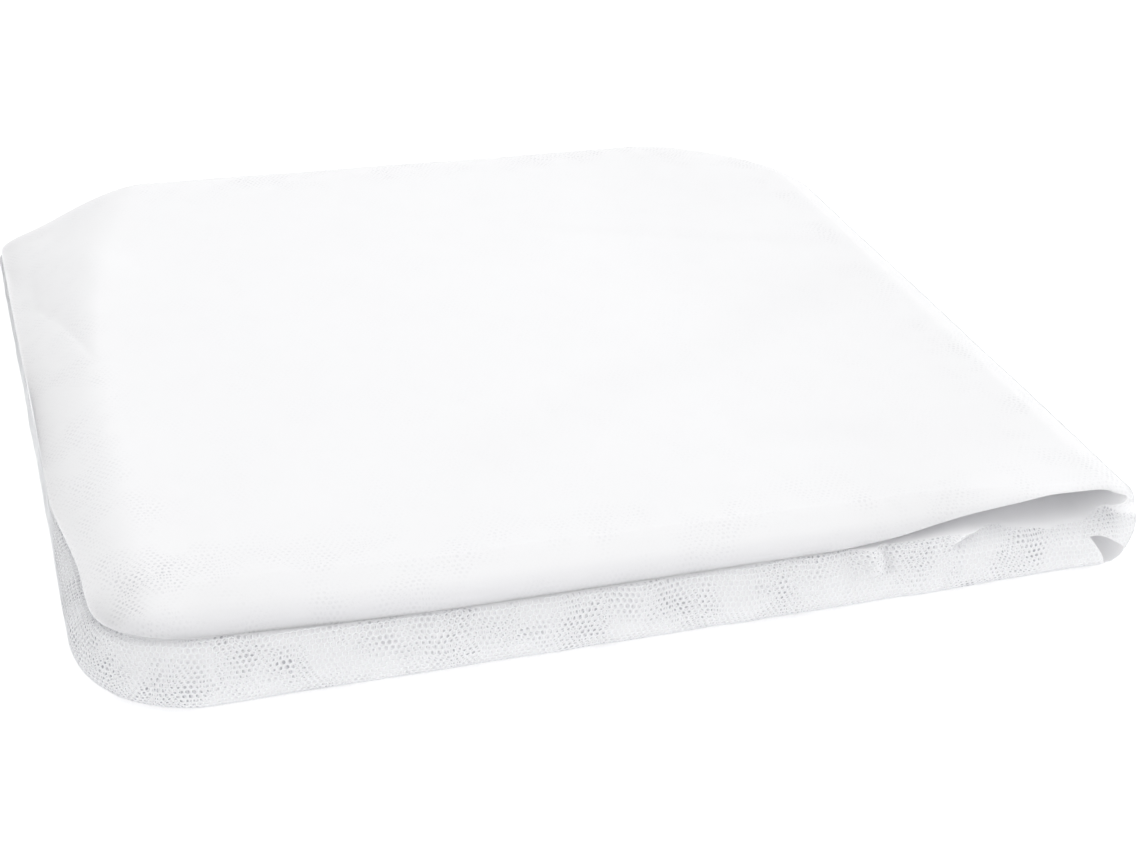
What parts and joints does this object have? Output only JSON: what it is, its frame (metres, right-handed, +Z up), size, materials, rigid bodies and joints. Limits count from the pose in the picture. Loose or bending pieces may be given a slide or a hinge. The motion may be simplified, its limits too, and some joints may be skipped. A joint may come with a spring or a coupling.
{
  "type": "folded bed mosquito net",
  "caption": "White mesh bed mosquito net folded flat into a soft square pack, with a rolled right end, an open fold at the front and a drawn-down corner.",
  "frame": {"origin": "middle of the pack's box on the surface that it rests on", "axes": "+X to the right along the folded front edge, towards the rolled end; +Y to the back; +Z up"},
  "size_m": [0.326, 0.324, 0.0315],
  "materials": {
    "net_cloth": "soft matte knitted mesh"
  },
  "bodies": {
    "root": {"folded_net": "net_cloth"}
  },
  "joints": []
}
